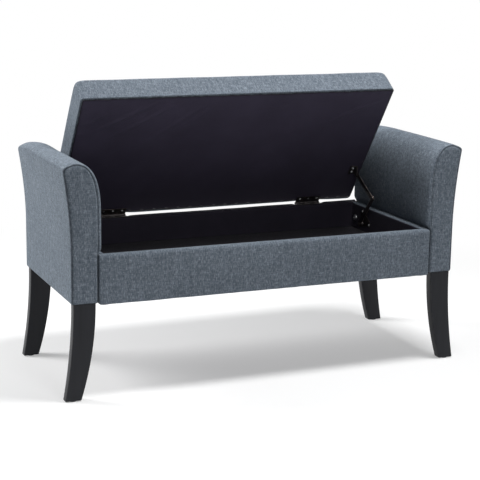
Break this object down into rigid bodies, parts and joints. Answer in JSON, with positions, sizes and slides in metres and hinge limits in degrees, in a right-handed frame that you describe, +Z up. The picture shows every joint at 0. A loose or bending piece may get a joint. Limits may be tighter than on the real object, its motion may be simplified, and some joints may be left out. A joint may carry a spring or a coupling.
{
  "type": "storage bench",
  "caption": "Upholstered bench with flared arms, sabre legs and a padded seat lid that lifts on hinges and folding stays over a lined storage box.",
  "frame": {"origin": "on the floor, at the centre of the bench's footprint between the front and back faces", "axes": "+X along the seat towards the right arm as seen from the front, the front faces -Y, +Z up; the lid is stored open"},
  "size_m": [1.17, 0.5269, 0.8094],
  "materials": {
    "cloth": "woven linen-look cloth, matt",
    "foam": "open-cell foam",
    "timber": "bare board",
    "black_cloth": "thin non-woven cloth",
    "black_wood": "satin black lacquer",
    "black_steel": "dark bronze-black plating",
    "zinc": "bright zinc",
    "glide_plastic": "moulded"
  },
  "bodies": {
    "base": {"arm_left_cover": "cloth", "arm_left_foam": "foam", "arm_left_front_panel": "cloth", "arm_left_back_panel": "cloth", "arm_left_front_former": "timber", "arm_left_back_former": "timber", "arm_right_cover": "cloth", "arm_right_foam": "foam", "arm_right_front_panel": "cloth", "arm_right_back_panel": "cloth", "arm_right_front_former": "timber", "arm_right_back_former": "timber", "arm_base_rails": "timber", "arm_battens": "timber", "arm_bolts": "zinc", "box_front_board": "timber", "box_back_board": "timber", "box_left_board": "timber", "box_right_board": "timber", "box_floor": "timber", "floor_cleats": "timber", "front_rail_foam": "foam", "front_rail_cover": "cloth", "back_rail_cover": "cloth", "left_rail_cover": "cloth", "right_rail_cover": "cloth", "box_lining": "black_cloth", "box_dust_cover": "black_cloth", "front_left_leg": "black_wood", "front_right_leg": "black_wood", "back_left_leg": "black_wood", "back_right_leg": "black_wood", "leg_bolts": "zinc", "leg_glides": "glide_plastic", "hinge_left_box_leaf": "black_steel", "hinge_right_box_leaf": "black_steel", "hinge_pins": "black_steel", "hinge_box_screws": "zinc", "stay_left_box_bracket": "black_steel", "stay_right_box_bracket": "black_steel", "stay_box_rivets": "black_steel", "stay_box_screws": "zinc"},
    "lid": {"lid_board": "timber", "lid_foam": "foam", "lid_cover": "cloth", "lid_dust_cover": "black_cloth", "hinge_left_lid_leaf": "black_steel", "hinge_right_lid_leaf": "black_steel", "hinge_lid_screws": "zinc", "stay_left_lid_bracket": "black_steel", "stay_right_lid_bracket": "black_steel", "stay_lid_rivets": "black_steel", "stay_lid_screws": "zinc"},
    "stay_left_lower": {"stay_left_lower_link": "black_steel", "stay_left_elbow_rivet": "black_steel"},
    "stay_left_upper": {"stay_left_upper_link": "black_steel"},
    "stay_right_lower": {"stay_right_lower_link": "black_steel", "stay_right_elbow_rivet": "black_steel"},
    "stay_right_upper": {"stay_right_upper_link": "black_steel"}
  },
  "joints": [
    {"name": "lid_hinge", "type": "hinge", "parent": "base", "child": "lid", "pos_m": [0, 0.2365, 0.391], "axis": [1, 0, 0], "range_deg": [0, 55]},
    {"name": "stay_left_base_pivot", "type": "hinge", "parent": "base", "child": "stay_left_lower", "pos_m": [-0.4575, 0.1365, 0.334], "axis": [1, 0, 0], "range_deg": [0, 55]},
    {"name": "stay_left_elbow", "type": "hinge", "parent": "stay_left_lower", "child": "stay_left_upper", "pos_m": [-0.455, 0.05751, 0.42763], "axis": [1, 0, 0], "range_deg": [-55, 0]},
    {"name": "stay_right_base_pivot", "type": "hinge", "parent": "base", "child": "stay_right_lower", "pos_m": [0.4575, 0.1365, 0.334], "axis": [1, 0, 0], "range_deg": [0, 55]},
    {"name": "stay_right_elbow", "type": "hinge", "parent": "stay_right_lower", "child": "stay_right_upper", "pos_m": [0.455, 0.05751, 0.42763], "axis": [1, 0, 0], "range_deg": [-55, 0]}
  ],
  "couplings": [
    {"joint": "stay_left_base_pivot", "follows": "lid_hinge", "ratio": 1},
    {"joint": "stay_left_elbow", "follows": "lid_hinge", "ratio": -1},
    {"joint": "stay_right_base_pivot", "follows": "lid_hinge", "ratio": 1},
    {"joint": "stay_right_elbow", "follows": "lid_hinge", "ratio": -1}
  ]
}
